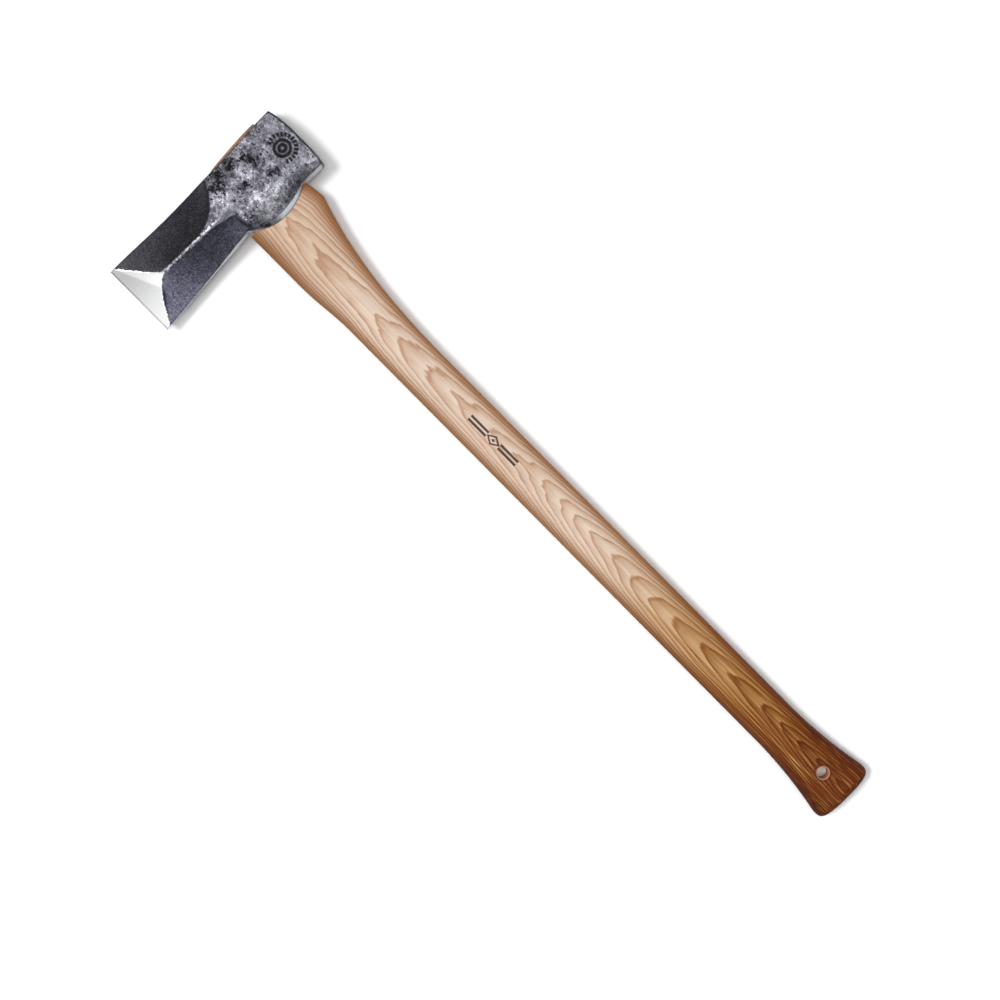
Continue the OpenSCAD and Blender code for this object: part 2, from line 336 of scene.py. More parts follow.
def bevel(level, y):
    """Half thickness that the grinding leaves: a flat, and a second one towards the toe."""
    slope = (RIDGE_HALF - EDGE_HALF) / (BEVEL_Y + EDGE_REACH)
    past = math.cos(GRIND_TURN) * (y - GRIND_Y) - math.sin(GRIND_TURN) * (level - TOE_LEVEL)
    return EDGE_HALF + slope * (y + EDGE_REACH) - GRIND_TILT * np.maximum(0, past)


def bevel_start(level):
    """Where the grinding ends at each level: it comes to a point on the ridge."""
    toe = clamp((APEX_LEVEL - level) / (APEX_LEVEL - TOE_LEVEL))
    heel = clamp((level - APEX_LEVEL) / (HEEL_LEVEL - APEX_LEVEL))
    return mix(BEVEL_Y, CORNER_Y, np.where(level < APEX_LEVEL, toe**TOE_POWER, heel**HEEL_POWER))


def half_thickness(level, y):
    """Half thickness of the finished head: the forging runs down to where the grinding ends."""
    start = bevel_start(level)
    t = clamp((y - start) / (FAN_END - start))
    near = bevel(level, start)
    fan = mix(near, forging(level, np.full_like(y, FAN_END))[0], t)
    body = np.where(y < FAN_END, fan, forging(level, y)[0])
    return np.where(y < start, bevel(level, y), body)


# ---- Mesh of the head ----

SIDE_COLUMNS, ROUND_COLUMNS, RIM_POINTS = 44, 5, 10
BEVEL_ROWS, FAN_ROWS, BIT_ROWS, LUG_ROWS, POLL_ROWS = 46, 16, 108, 96, 44
EDGE_CROWDING, POLL_CROWDING = 1.35, 0.08
RIM_ROUNDING, RIM_SHARE, RIM_BULGE, BULGE_HALF = 1.4, 0.6, 0.35, 10.0
EDGE_ROUNDING, EDGE_SHARE = 1.1, 0.25
EDGE_DOME, POLL_DOME = -0.25, 1.0


def head_columns():
    """Shares from -1 at the upper rim to 1 at the lower rim, and their distances in from the rim."""
    rounding = RIM_ROUNDING * (1 - np.sin(np.linspace(0, math.pi / 2, ROUND_COLUMNS + 1)))
    shares = np.concatenate([np.linspace(0, 1, SIDE_COLUMNS), np.ones(ROUND_COLUMNS)])
    insets = np.concatenate([np.full(SIDE_COLUMNS, RIM_ROUNDING), rounding[1:]])
    return np.concatenate([-shares[::-1], shares[1:]]), np.concatenate([insets[::-1], insets[1:]])


def rows(start, end, count):
    """A column of count even places from just past start up to end."""
    return np.linspace(start, end, count + 1)[1:, None]


def head_rows(shares):
    """Each column's y at every row of points, from the edge to the poll."""
    corner = np.where(shares < 0, TOE_LEVEL, HEEL_LEVEL)
    start = bevel_start(mix(APEX_LEVEL, corner, np.abs(shares)))[None, :]
    flat = np.ones_like(start)
    ground = mix(-EDGE_REACH, start, np.linspace(0, 1, BEVEL_ROWS + 1)[:, None] ** EDGE_CROWDING)
    fan = mix(start, FAN_END, rows(0, 1, FAN_ROWS))
    bit = rows(FAN_END, LUG_FRONT, BIT_ROWS) * flat
    lug = rows(LUG_FRONT, LUG_REAR, LUG_ROWS) * flat
    turn = rows(0, 2 * math.pi, POLL_ROWS)
    poll = mix(LUG_REAR, POLL_REACH, (turn - POLL_CROWDING * np.sin(turn)) / (2 * math.pi)) * flat
    return np.concatenate([ground, fan, bit, lug, poll])


def rim_drop(inset, half):
    """How far a rounded rim lies below the surface at a distance in from it."""
    r = np.minimum(RIM_ROUNDING, RIM_SHARE * half)
    return r - np.sqrt(np.maximum(0, r**2 - np.maximum(0, r - inset) ** 2))


def head_side():
    """Levels, ys and half thicknesses over one side of the head, with its rounded rims."""
    shares, insets = head_columns()
    y = head_rows(shares)
    edge = np.where(shares < 0, top_edge(y), bottom_edge(y))
    inward = np.where(shares < 0, 1, -1)
    inner = mix(ridge_line(y), edge + inward * RIM_ROUNDING, np.abs(shares))
    level = np.where(insets < RIM_ROUNDING, edge + inward * insets, inner)
    half = half_thickness(level, y)
    half = half - rim_drop(insets, half)
    from_edge = clamp((y + EDGE_REACH) / EDGE_ROUNDING)
    half = half * mix(EDGE_SHARE, 1, np.sqrt(1 - (1 - from_edge) ** 2))
    half = half - rim_drop(POLL_REACH - y, np.full_like(half, POLL_HALF))
    return level, y - poll_crown(level) * to_poll(y), half


def head_blank():
    """Rings of points round the head from edge to poll, and how many points one side has."""
    level, y, half = head_side()
    upper = np.stack([level, y, half], -1)
    lower = np.stack([level, y, -half], -1)[:, ::-1]
    lower_rim = rim_points(upper[:, -1], lower[:, 0], RIM_BULGE)
    upper_rim = rim_points(lower[:, -1], upper[:, 0], -RIM_BULGE)
    return np.concatenate([upper, lower_rim, lower, upper_rim], axis=1), level.shape[1]


def arch(t):
    """0 at both ends of a run and 1 in its middle."""
    return 1 - (2 * t - 1) ** 2


def rim_points(start, end, bulge):
    """Points across a rim between the two sides of the head."""
    t = np.linspace(0, 1, RIM_POINTS + 2)[1:-1, None]
    points = mix(start[:, None], end[:, None], t)
    points[..., 0] += bulge * arch(t[:, 0]) * np.minimum(1, start[:, None, 2] / BULGE_HALF)
    return points


def cap(ring_start, columns, sides, dome, points):
    """Faces over an end of the head, and all points with those inside the end added."""
    upper = [ring_start + i for i in range(columns)]
    lower = [ring_start + 2 * columns + RIM_POINTS - 1 - i for i in range(columns)]
    grid = [[upper[0]] + [ring_start + sides - 1 - k for k in range(RIM_POINTS)] + [lower[0]]]
    inside = []
    for a, b in zip(upper[1:-1], lower[1:-1]):
        line = [a]
        for k in range(1, RIM_POINTS + 1):
            t = k / (RIM_POINTS + 1)
            point = mix(points[a], points[b], t)
            point[1] += dome * arch(t)
            line.append(len(points) + len(inside))
            inside.append(point)
        grid.append(line + [b])
    grid.append([upper[-1]] + [ring_start + columns + k for k in range(RIM_POINTS)] + [lower[-1]])
    faces = []
    for a, b in zip(grid, grid[1:]):
        faces += [(a[k], a[k + 1], b[k + 1], b[k]) for k in range(RIM_POINTS + 1)]
    return faces, np.concatenate([points, inside])


def oval(level, centre, half_length, half_width, roundness):
    """A ring of points across the handle's direction."""
    y = centre + half_length * signed_power(np.cos(around()), 2 / roundness)
    z = half_width * signed_power(np.sin(around()), 2 / roundness)
    return np.stack([np.full(SECTION_SIDES, float(level)), y, z], -1)


def eye_ring(level, grow=0.0):
    """The eye's outline, which widens and leans back towards the top of the head."""
    up = (POLL_BOTTOM - level) / (POLL_BOTTOM - POLL_TOP)
    half_length = (EYE_LENGTH + EYE_FLARE * up) / 2 + grow
    half_width = (EYE_WIDTH + EYE_FLARE * up) / 2 + grow
    return oval(level, EYE_CENTRE + EYE_LEAN * up, half_length, half_width, EYE_ROUNDNESS)


# ---- Surface of the head ----

# Places as (level, y, radius): where pits crowd together, and where the skin is worn bright.
PIT_CLUSTERS = [(19, 21, 6), (26, 26, 5), (13, 6, 7), (21, -15, 8), (12, -8, 5), (45, 30, 6), (36, 2, 5)]
WORN_PATCHES = [(59, 22, 11), (63, 5, 9), (32, -22, 8), (29, 8, 8), (6, 28, 5), (50, 4, 6), (60, 60, 7)]
PIT_SIZE, PIT_DEPTH, HOLLOW_PITS = 2.6, 0.42, 0.85
PIT_CROWDING, PIT_START, PIT_RUN = 0.55, 0.5, 0.2
# Sizes and depths of the low waves, the hammering and the scale.
SKIN = [(17, 0.28), (5, 0.1), (1.7, 0.05)]
RIM_WAVE, RIM_WAVE_DEPTH, POLL_MARGIN = 9.0, 0.18, 3.0
STAMP_LEVEL, STAMP_Y, STAMP_DEPTH, STAMP_SOFT = 35.5, 50.0, 0.5, 0.4
DISC_RADIUS, RING_MIDDLE, RING_HALF, DOT_RADIUS, RING_RISE = 8.6, 5.2, 0.7, 1.7, 0.75
TICKS, TICK_MIDDLE, TICK_LENGTH, TICK_WIDTH, TICK_LIMIT = 11, 12.4, 3.8, 2.0, -6.5
CRESCENT_START, CRESCENT_FULL = -0.95, -0.1
SHADOW_SLIVER_LEVELS = (44, 52, 60, 70)


def soft_disc(radius, r):
    return step(radius + STAMP_SOFT, radius - STAMP_SOFT, r)


def stamp(level, y):
    """Depth of the stamped mark: a disc with a raised ring and dot, and an arc of short ticks."""
    dx, dy = level - STAMP_LEVEL, y - STAMP_Y
    r = np.hypot(dx, dy)
    ring = step(RING_HALF + 0.3, RING_HALF - 0.3, np.abs(r - RING_MIDDLE))
    raised = np.maximum(ring, soft_disc(DOT_RADIUS, r))
    slot = math.pi / TICKS
    turn = np.arctan2(dy, dx)
    off = turn - (np.round(turn / slot - 0.5) + 0.5) * slot
    along = np.abs(r * np.cos(off) - TICK_MIDDLE) - TICK_LENGTH / 2
    across = np.abs(r * np.sin(off)) - TICK_WIDTH / 2
    tick = step(0.35, -0.35, np.maximum(along, across)) * (dy > TICK_LIMIT)
    return np.maximum(soft_disc(DISC_RADIUS, r) - RING_RISE * raised, tick)


def near_patches(level, y, patches):
    zone = 0.0
    for patch_level, patch_y, radius in patches:
        zone = np.maximum(zone, np.exp(-((level - patch_level) ** 2 + (y - patch_y) ** 2) / radius**2))
    return zone


def pits(points):
    """How deep the forge scale has pitted each point, from 0 to 1."""
    zone = near_patches(points[:, 0], points[:, 1], PIT_CLUSTERS)
    return clamp((noise(points, PIT_SIZE, 11, 2) + PIT_CROWDING * zone - PIT_START) / PIT_RUN)


def surfaces(points):
    """Soft masks for each point: ground, upper hollow, lower hollow, and on a cheek, not a rim."""
    level, y, z = points.T
    into_upper, into_lower = forging(level, y)[1:]
    inset = np.minimum(level - top_edge(y), bottom_edge(y) - level)
    high = np.abs(z) / np.maximum(0.1, half_thickness(level, y))
    facing = step(0.0, 0.7, inset) * step(0.3, 0.6, high)
    ground = step(1.2, -1.2, y - bevel_start(level))
    upper = step(-3.0, 4.0, into_upper) * facing
    lower = step(-1.6, 2.4, into_lower) * facing
    return ground, upper, lower, facing


def roughen(points):
    """The forged surface: low waves, scale, pits and the stamped mark, but flat where it is ground."""
    ground, upper, lower, facing = surfaces(points)
    level, y, z = points.T
    forged = 1 - ground
    skin = sum(depth * noise(points, size, seed) for seed, (size, depth) in enumerate(SKIN, 1))
    skin = skin * forged * step(0, POLL_MARGIN, POLL_REACH - y)
    skin -= PIT_DEPTH * pits(points) * forged * (1 - np.maximum(upper, lower) * HOLLOW_PITS)
    skin -= STAMP_DEPTH * stamp(level, y) * (z > 0)
    rim = (1 - facing) * forged * (y < POLL_REACH - POLL_MARGIN)
    out = points.copy()
    out[:, 2] += np.sign(z) * facing * skin
    out[:, 0] += np.sign(level - RIDGE_LEVEL) * rim * RIM_WAVE_DEPTH * noise(points, RIM_WAVE, 7, 2)
    return out


def head_mesh():
    """The solid head, before the eye is cut."""
    rings, columns = head_blank()
    count, sides = rings.shape[:2]
    points = rings.reshape(-1, 3)
    edge_faces, points = cap(0, columns, sides, EDGE_DOME, points)
    poll_faces, points = cap((count - 1) * sides, columns, sides, POLL_DOME, points)
    faces = quads(count, sides) + edge_faces + [f[::-1] for f in poll_faces]
    return new_object("forged_head", roughen(points), faces)


def cut_eye(head):
    """The flared eye, with a small step round its mouth at the top."""
    rings = [eye_ring(-8, EYE_MOUTH), eye_ring(POLL_TOP + 1.2, EYE_MOUTH), eye_ring(POLL_TOP + 3.4),
             eye_ring(100)]
    combine(head, loft("eye", rings), "DIFFERENCE")
    shade(head, CUT_ANGLE)


def ridge_mask(points):
    """The worn line along the ridge, which wavers a little."""
    level, y = points[:, 0], points[:, 1]
    away = np.abs(level - ridge_line(y) - 0.2 + 0.5 * noise(points, 5, 21))
    return step(3.6, 0.2, away) * step(-20, -45, y)


def facet_mask(level, y):
    across = (level - ridge_line(y) - RIDGE_FLAT) / np.maximum(0.5, facet_width(y))
    return step(-0.1, 0.1, across) * step(1.15, 0.95, across) * step(-17, -22, y) * step(-50, -44, y)


def shadow_sliver_mask(level, y):
    """Where shadow is painted in the lower hollow: a thin dark strip along the bevel, as if under a
    step.
    """
    off = y - bevel_start(level)
    start, full, fading, end = SHADOW_SLIVER_LEVELS
    along = step(start, full, level) * step(end, fading, level)
    return step(3.6, 2.4, off) * step(-0.2, 0.4, off) * along


def paint_head(head):
    """The masks that the steel's material reads."""
    points = tool_points(head)
    level, y, z = points.T
    ground, upper, lower, facing = surfaces(points)
    sunk = np.maximum(pits(points) * (1 - ground), stamp(level, y) * (z > 0))
    # The lug's chamfer, where a highlight is painted.
    crescent = step(CRESCENT_START, CRESCENT_FULL, lug_chamfer(level, y))
    poll_rim = step(2.0, 1.0, POLL_REACH - poll_crown(level) - y)
    # The rim below the ridge, painted paler as worn metal and as a reflection of the floor.
    under = (1 - facing) * (level > RIDGE_LEVEL) * (1 - poll_rim)
    pit_zone = near_patches(level, y, PIT_CLUSTERS)
    paint(head, "zones", ground, upper, lower)
    paint(head, "marks", ridge_mask(points), sunk * facing, 0)
    paint(head, "wear", near_patches(level, y, WORN_PATCHES) * facing, crescent * facing, under)
    paint(head, "forms", facet_mask(level, y) * facing, poll_rim, step(-80, -125, y))
    paint(head, "spots", pit_zone * facing, shadow_sliver_mask(level, y) * facing, 0)


def make_head():
    head = head_mesh()
    cut_eye(head)
    paint_head(head)
    finish_piece(head, "head", forged_steel())


# ---- Shape of the handle ----

SHOULDER_LEVEL, SHOULDER_RUN, SHOULDER_DROP, SHOULDER_POWER = 70.2, 22.0, 3.4, 1.5
SWELL_RUN, SWELL_POWER = 190.0, 2.6
FRONT_SWELL, FRONT_START, FRONT_RUN = 3.6, 135.0, 55.0
TOP_THICKNESS, SHAFT_THICKNESS, KNOB_THICKNESS = 34.0, 30.0, 33.0
THINNING_START, THINNING_RUN = 95.0, 100.0
KNOB_WIDENING = 8.2
SHAFT_ROUNDNESS = 2.25
HOLE_RIM = 2.1
LUG_GAP, LUG_SIDES = 0.15, 360
SPARE = 100.0


def flare(x):
    return clamp((x - KNOB_START) / (KNOB_END - KNOB_START)) ** 2


def rear_edge(x):
    back = np.maximum(0, SWELL_LEVEL - x) / SHOULDER_RUN
    before = SWELL_REACH - SHOULDER_DROP * back**SHOULDER_POWER
    after = mix(SHAFT_HALF, SWELL_REACH, clamp(1 - (x - SWELL_LEVEL) / SWELL_RUN) ** SWELL_POWER)
    swell = np.where(x < SWELL_LEVEL, before, after)
    return swell + KNOB_WIDENING * flare(x)


def front_edge(x):
    swell = SHAFT_HALF + FRONT_SWELL * (1 - ease((x - FRONT_START) / FRONT_RUN))
    return swell + KNOB_WIDENING * flare(x)


def thickness(x):
    shaft = mix(TOP_THICKNESS, SHAFT_THICKNESS, ease((x - THINNING_START) / THINNING_RUN))
    return mix(shaft, KNOB_THICKNESS, flare(x))


def shaft_ring(x):
    """One section of the shaft, pulled in towards the end of the knob."""
    end = (1 - (max(0, x - KNOB_END) / KNOB_ROUNDING) ** 4) ** 0.25
    rear, front = rear_edge(x), front_edge(x)
    half_width = (rear + front) / 2 * end
    return oval(x, (rear - front) / 2, half_width, thickness(x) / 2 * end, SHAFT_ROUNDNESS)


def shaft():
    """The handle below the head, longer at its top than it ends up."""
    ends = KNOB_END + KNOB_ROUNDING * np.sin(np.linspace(0, 1, 15)[1:] * math.radians(88))
    stations = np.concatenate([np.arange(60, 130, 1.5), np.arange(130, KNOB_START, 3.5),
                               np.arange(KNOB_START, KNOB_END, 2), [KNOB_END], ends])
    return loft("ash_handle", [shaft_ring(x) for x in stations])


def rod(name, centre, profile, sides=SECTION_SIDES):
    """A solid turned about a line through centre along z, from (z, radius) pairs."""
    angle = around(sides)
    rings = [np.stack([centre[0] + r * np.cos(angle), centre[1] + r * np.sin(angle),
                       np.full(sides, float(z))], -1) for z, r in profile]
    return loft(name, rings)


def turned_along(name, profile):
    """A solid turned about a line down the eye's middle, from (level, radius) pairs."""
    angle = around()
    rings = [np.stack([np.full(SECTION_SIDES, float(level)), EYE_CENTRE + r * np.cos(angle),
                       r * np.sin(angle)], -1) for level, r in profile]
    return loft(name, rings)


def block(name, corners):
    """A solid with this outline in level and y, through the whole thickness."""
    rings = [np.array([(a, b, z) for a, b in corners], float) for z in (-SPARE, SPARE)]
    return loft(name, rings)


def shoulder_cutters():
    """What is cut from the top of the shaft: the lug's round, and all above the shoulder."""
    radius = LUG_RADIUS + LUG_GAP
    outline = [(-SPARE, -SPARE), (SHOULDER_LEVEL, -SPARE), (SHOULDER_LEVEL, SPARE), (-SPARE, SPARE)]
    yield rod("lug", (LUG_LEVEL, LUG_Y), [(-SPARE, radius), (SPARE, radius)], LUG_SIDES)
    yield block("above_shoulder", outline)


def end_face(y):
    return END_LEVEL + (EYE_REAR - y) * END_SLOPE


def make_tenon():
    """The wood in the eye, with its sloping end."""
    tenon = loft("tenon", [eye_ring(x) for x in (-8, 20, 50, 75)])
    outline = [(end_face(-SPARE), -SPARE), (end_face(SPARE), SPARE), (-SPARE, SPARE), (-SPARE, -SPARE)]
    combine(tenon, block("above_end", outline), "DIFFERENCE")
    return tenon


def kerf_cutter():
    """The saw kerf, which the wooden wedge opens to its own shape."""
    profile = [(-8, WEDGE_HALF + 0.4), (0, WEDGE_HALF), (WEDGE_DEPTH, WEDGE_TIP_HALF),
               (KERF_DEPTH, WEDGE_TIP_HALF)]
    outline = profile + [(x, -z) for x, z in profile[::-1]]
    rings = [np.array([(x, y, z) for x, z in outline], float) for y in (-80, 80)]
    return loft("kerf", rings)


def ring_bore(level):
    return RING_RADIUS - mix(RING_WALL, RING_LIP, (level - RING_TOP) / (RING_DEPTH + 1 - RING_TOP))


def ring_slot():
    """A tube where the ring wedge sits."""
    slot = turned_along("slot", [(RING_TOP, RING_RADIUS), (RING_DEPTH, RING_RADIUS)])
    core = [(level, ring_bore(level)) for level in (RING_TOP - 1, RING_DEPTH + 1)]
    combine(slot, turned_along("core", core), "DIFFERENCE")
    return slot


def hanging_hole():
    """The hanging hole with a rounded rim at both faces."""
    face = thickness(HOLE_LEVEL) / 2 - 0.1
    angles = np.linspace(0, math.pi / 2, 9)
    rim = [(face - HOLE_RIM + HOLE_RIM * math.sin(a), HOLE_RADIUS + HOLE_RIM * (1 - math.cos(a)))
           for a in angles]
    rim.append((face + 1, HOLE_RADIUS + HOLE_RIM + 0.6))
    return rod("hole", (HOLE_LEVEL, 0), [(-z, r) for z, r in rim[::-1]] + rim)


def paint_handle(handle):
    """The masks that the wood's material reads: how far round the side, where denser grain and painted
    shade darken the wood, and the upper face.
    """
    x, y, z = tool_points(handle).T
    rear, front = rear_edge(x), front_edge(x)
    out = np.abs(y - (rear - front) / 2) / ((rear + front) / 2)
    paint(handle, "grain", step(0.5, 1.0, out) * (x > SHOULDER_LEVEL - 1), z > 0, 0)


def make_handle():
    handle = shaft()
    for cutter in shoulder_cutters():
        combine(handle, cutter, "DIFFERENCE")
    combine(handle, make_tenon(), "UNION")
    for cutter in (kerf_cutter(), ring_slot(), hanging_hole()):
        combine(handle, cutter, "DIFFERENCE")
    shade(handle, CUT_ANGLE)
    paint_handle(handle)
    finish_piece(handle, "handle", ash_wood())


# ---- Materials ----


class Graph:
    """Short names for building one material out of nodes."""

    def __init__(self, name):
        self.material = bpy.data.materials.new(name)
        self.material.use_nodes = True
        self.tree = self.material.node_tree
        self.shader = self.tree.nodes["Principled BSDF"]

    def put(self, socket, value):
        if hasattr(value, "is_output"):
            self.tree.links.new(value, socket)
        elif socket.type == "RGBA" and len(value) == 3:
            socket.default_value = (*value, 1)
        else:
            socket.default_value = value

    def node(self, kind, inputs=None, **settings):
        node = self.tree.nodes.new(kind)
        for key, value in settings.items():
            setattr(node, key, value)
        for key, value in (inputs or {}).items():
            self.put(node.inputs[key], value)
        return node

    def math(self, operation, a, b=0.0, c=0.0):
        return self.node("ShaderNodeMath", {0: a, 1: b, 2: c}, operation=operation).outputs[0]

    def times(self, a, b):
        return self.math("MULTIPLY", a, b)

    def minus(self, a, b):
        return self.math("SUBTRACT", a, b)

    def distance(self, a, b):
        squares = [self.math("POWER", value, 2) for value in (a, b)]
        return self.math("SQRT", self.math("ADD", *squares))

    def clamped(self, low, high, value):
        """0 below low, 1 above high and a straight run between."""
        inputs = {"Value": value, "From Min": low, "From Max": high}
        return self.node("ShaderNodeMapRange", inputs).outputs[0]

    def smooth(self, low, high, value):
        inputs = {"Value": value, "From Min": low, "From Max": high}
        return self.node("ShaderNodeMapRange", inputs, interpolation_type="SMOOTHSTEP").outputs[0]

    def mix(self, factor, a, b, blend="MIX"):
        node = self.node("ShaderNodeMix", data_type="RGBA", blend_type=blend)
        for socket, value in zip([node.inputs[0], node.inputs[6], node.inputs[7]], [factor, a, b]):
            self.put(socket, value)
        return node.outputs[2]

    def tint(self, colour, mask, strength, other, blend="MIX"):
        """The colour with this strength of another one where the mask is."""
        return self.mix(self.times(mask, strength), colour, other, blend)

    def mix_value(self, factor, a, b):
        node = self.node("ShaderNodeMix", data_type="FLOAT")
        for socket, value in zip([node.inputs[0], node.inputs[2], node.inputs[3]], [factor, a, b]):
            self.put(socket, value)
        return node.outputs[0]

    def vector(self, operation, a, b):
        node = self.node("ShaderNodeVectorMath", {0: a, 1: b}, operation=operation)
        return node.outputs["Value" if operation == "DOT_PRODUCT" else "Vector"]

    def blend(self, parts):
        """The sum of (value, weight) pairs."""
        total = 0.0
        for value, weight in parts:
            total = self.math("MULTIPLY_ADD", value, weight, total)
        return total

    def ragged(self, mask, stray):
        """A soft mask cut sharply at its middle, where stray values fray the cut."""
        near = self.times(self.minus(1, mask), mask)
        return self.smooth(0.4, 0.6, self.math("MULTIPLY_ADD", self.times(near, 4), stray, mask))

    def join(self, x, y, z):
        return self.node("ShaderNodeCombineXYZ", {0: x, 1: y, 2: z}).outputs[0]

    def tool_place(self):
        """Place in the tool's frame, in millimetres, as three values."""
        place = self.node("ShaderNodeTexCoord").outputs["Object"]
        place = self.vector("SUBTRACT", place, tuple(START))
        return [self.vector("DOT_PRODUCT", place, tuple(axis * 1000)) for axis in (ALONG, ACROSS, UP)]

    def noise(self, place, size, detail=2.0, roughness=0.5, distortion=0.0):
        """Noise about 0.5 over features of these sizes in millimetres."""
        sizes = size if isinstance(size, tuple) else (size, size, size)
        scaled = self.join(*[self.times(p, 1 / s) for p, s in zip(place, sizes)])
        inputs = {"Vector": scaled, "Scale": 1.0, "Detail": detail, "Roughness": roughness,
                  "Distortion": distortion}
        return self.node("ShaderNodeTexNoise", inputs).outputs[0]

    def attribute(self, name):
        colour = self.node("ShaderNodeAttribute", attribute_name=name).outputs["Color"]
        return self.node("ShaderNodeSeparateColor", {0: colour}).outputs

    def finish(self, colour, roughness, metallic, height, bump, specular=0.5):
        normal = self.node("ShaderNodeBump", {"Height": height, "Distance": bump, "Strength": 1.0})
        self.put(self.shader.inputs["Base Color"], colour)
        self.put(self.shader.inputs["Roughness"], roughness)
        self.put(self.shader.inputs["Metallic"], metallic)
        self.put(self.shader.inputs["Normal"], normal.outputs[0])
        self.put(self.shader.inputs["Specular IOR Level"], specular)
        return self.material


# The masks that paint_head() stores, by layer.
PAINTED = {
    "zones": ("ground", "upper", "lower"),
    "marks": ("ridge", "sunk"),
    "wear": ("patches", "crescent", "under"),
    "forms": ("facet", "poll_rim", "to_edge"),
    "spots": ("pit_zone", "sliver"),
}
SCALE_DARK, SCALE_MIDDLE, SCALE_PALE = (0.035, 0.033, 0.042), (0.165, 0.163, 0.19), (0.4, 0.4, 0.42)
POLL_SKIN, FACET_LIT_GREY = (0.17, 0.168, 0.195), (0.16, 0.16, 0.19)
SCRATCH_PALE, SCRATCH_DARK, SPARK = (0.42, 0.42, 0.45), (0.02, 0.019, 0.023), (0.72, 0.72, 0.74)
SHADE, PIT_BLACK, RIM_BLACK = (0.028, 0.027, 0.035), (0.01, 0.009, 0.011), (0.02, 0.02, 0.023)
WORN_RIDGE = (0.48, 0.48, 0.51)
CRESCENT_DARK, CRESCENT_HIGHLIGHT = (0.2, 0.2, 0.225), (0.68, 0.74, 0.81)
UNDER_DARK, UNDER_PALE = (0.4, 0.41, 0.43), (0.66, 0.68, 0.7)
GROUND_TOE, GROUND_HEEL = (0.47, 0.47, 0.465), (0.84, 0.84, 0.83)


def steel_masks(g, place):
    """The painted masks and the noises that the steel is coloured by."""
    m = SimpleNamespace()
    for layer, parts in PAINTED.items():
        for part, value in zip(parts, g.attribute(layer)):
            setattr(m, part, value)
    m.broad = g.noise(place, 6, 3, 0.6)
    m.blotch = g.noise(place, 2.8, 4, 0.65)
    m.grain = g.noise(place, 1.3, 3, 0.7)
    m.speck = g.smooth(0.5, 0.62, m.grain)
    m.flecks = g.noise(place, 1.5, 5, 0.75, 0.6)
    m.scratch = g.noise(place, (3.5, 0.5, 3.5), 3, 0.6, 0.8)
    m.stray = g.minus(g.blend([(m.flecks, 2.4), (m.blotch, 2.2)]), 2.3)
    m.ground = g.ragged(m.ground, m.stray)
    m.upper = g.ragged(m.upper, m.stray)
    m.lower = g.ragged(m.lower, m.stray)
    m.hollows = g.math("MAXIMUM", m.upper, m.lower)
    cloud = g.noise(place, 15, 2, 0.5)
    m.tone = g.blend([(m.broad, 0.4), (m.blotch, 0.26), (cloud, 0.2), (m.flecks, 0.14), (m.patches, 0.1),
                      (m.pit_zone, -0.03)])
    nicks = g.noise(place, 2.4, 5, 0.7, 1.0)
    m.spots = g.smooth(0.4, 0.38, g.minus(nicks, g.times(m.pit_zone, 0.11)))
    m.spots = g.math("MAXIMUM", m.spots, m.sunk)
    # Where the crescent's painted highlight is brightest: the middle of its arc.
    m.glow = g.times(g.smooth(-8, 12, place[1]), g.smooth(42, 26, place[1]))
    return m


def bulge_colour(g, place, m):
    """Grey scale rubbed to bright metal on the bulge round the eye, calmer towards the poll."""
    colour = g.mix(g.smooth(0.42, 0.56, m.tone), SCALE_DARK, SCALE_MIDDLE)
    colour = g.mix(g.smooth(0.55, 0.68, m.tone), colour, SCALE_PALE)
    colour = g.tint(colour, g.smooth(22, 44, place[1]), 0.45, POLL_SKIN)
    colour = g.tint(colour, g.smooth(0.6, 0.67, m.scratch), 0.5, SCRATCH_PALE)
    colour = g.tint(colour, g.smooth(0.4, 0.35, m.scratch), 0.5, SCRATCH_DARK)
    spark = g.times(g.smooth(0.58, 0.63, m.flecks), g.smooth(0.5, 0.6, m.tone))
    colour = g.tint(colour, spark, 0.85, SPARK)
    colour = g.tint(colour, g.smooth(0.47, 0.41, g.noise(place, 5, 5, 0.65, 0.8)), 0.62, SHADE)
    # Painted light: the facet beside the tail gets a flat bluish grey, lighter than the hollows, for its
    # lit look.
    colour = g.tint(colour, m.facet, 0.88, FACET_LIT_GREY)
    return g.tint(colour, m.spots, 0.92, PIT_BLACK)


def shaded_upper_hollow(g, m):
    """The hollow towards the toe: dark forge scale, painted near-black as shade, darker than the same
    scale in the lower hollow.
    """
    deep = g.smooth(0.48, 0.38, m.blotch)
    colour = g.tint((0.013, 0.012, 0.016), m.speck, 0.5, (0.085, 0.08, 0.092))
    colour = g.tint(colour, g.smooth(0.45, 0.65, m.broad), 0.4, (0.04, 0.037, 0.045))
    colour = g.tint(colour, m.to_edge, g.mix_value(m.speck, 0.3, 0.85), (0.09, 0.085, 0.096))
    return g.tint(colour, deep, 0.5, (0.008, 0.007, 0.01))


def lower_hollow(g, place, m):
    """The bluer hollow towards the heel, paler near the bevel, with a strip of painted shadow along the
    bevel.
    """
    deep = g.smooth(0.48, 0.38, m.blotch)
    colour = g.tint((0.029, 0.029, 0.042), m.speck, 0.75, (0.13, 0.13, 0.172))
    colour = g.tint(colour, g.smooth(0.48, 0.66, m.broad), 0.4, (0.1, 0.1, 0.14))
    paler = g.smooth(-60, -118, place[1])
    colour = g.tint(colour, paler, g.mix_value(m.speck, 0.32, 0.95), (0.21, 0.208, 0.285))
    colour = g.tint(colour, deep, 0.6, (0.014, 0.014, 0.024))
    # Painted shadow: a near-black strip along the bevel, as if under a step.
    return g.tint(colour, m.sliver, 0.95, (0.005, 0.006, 0.035))


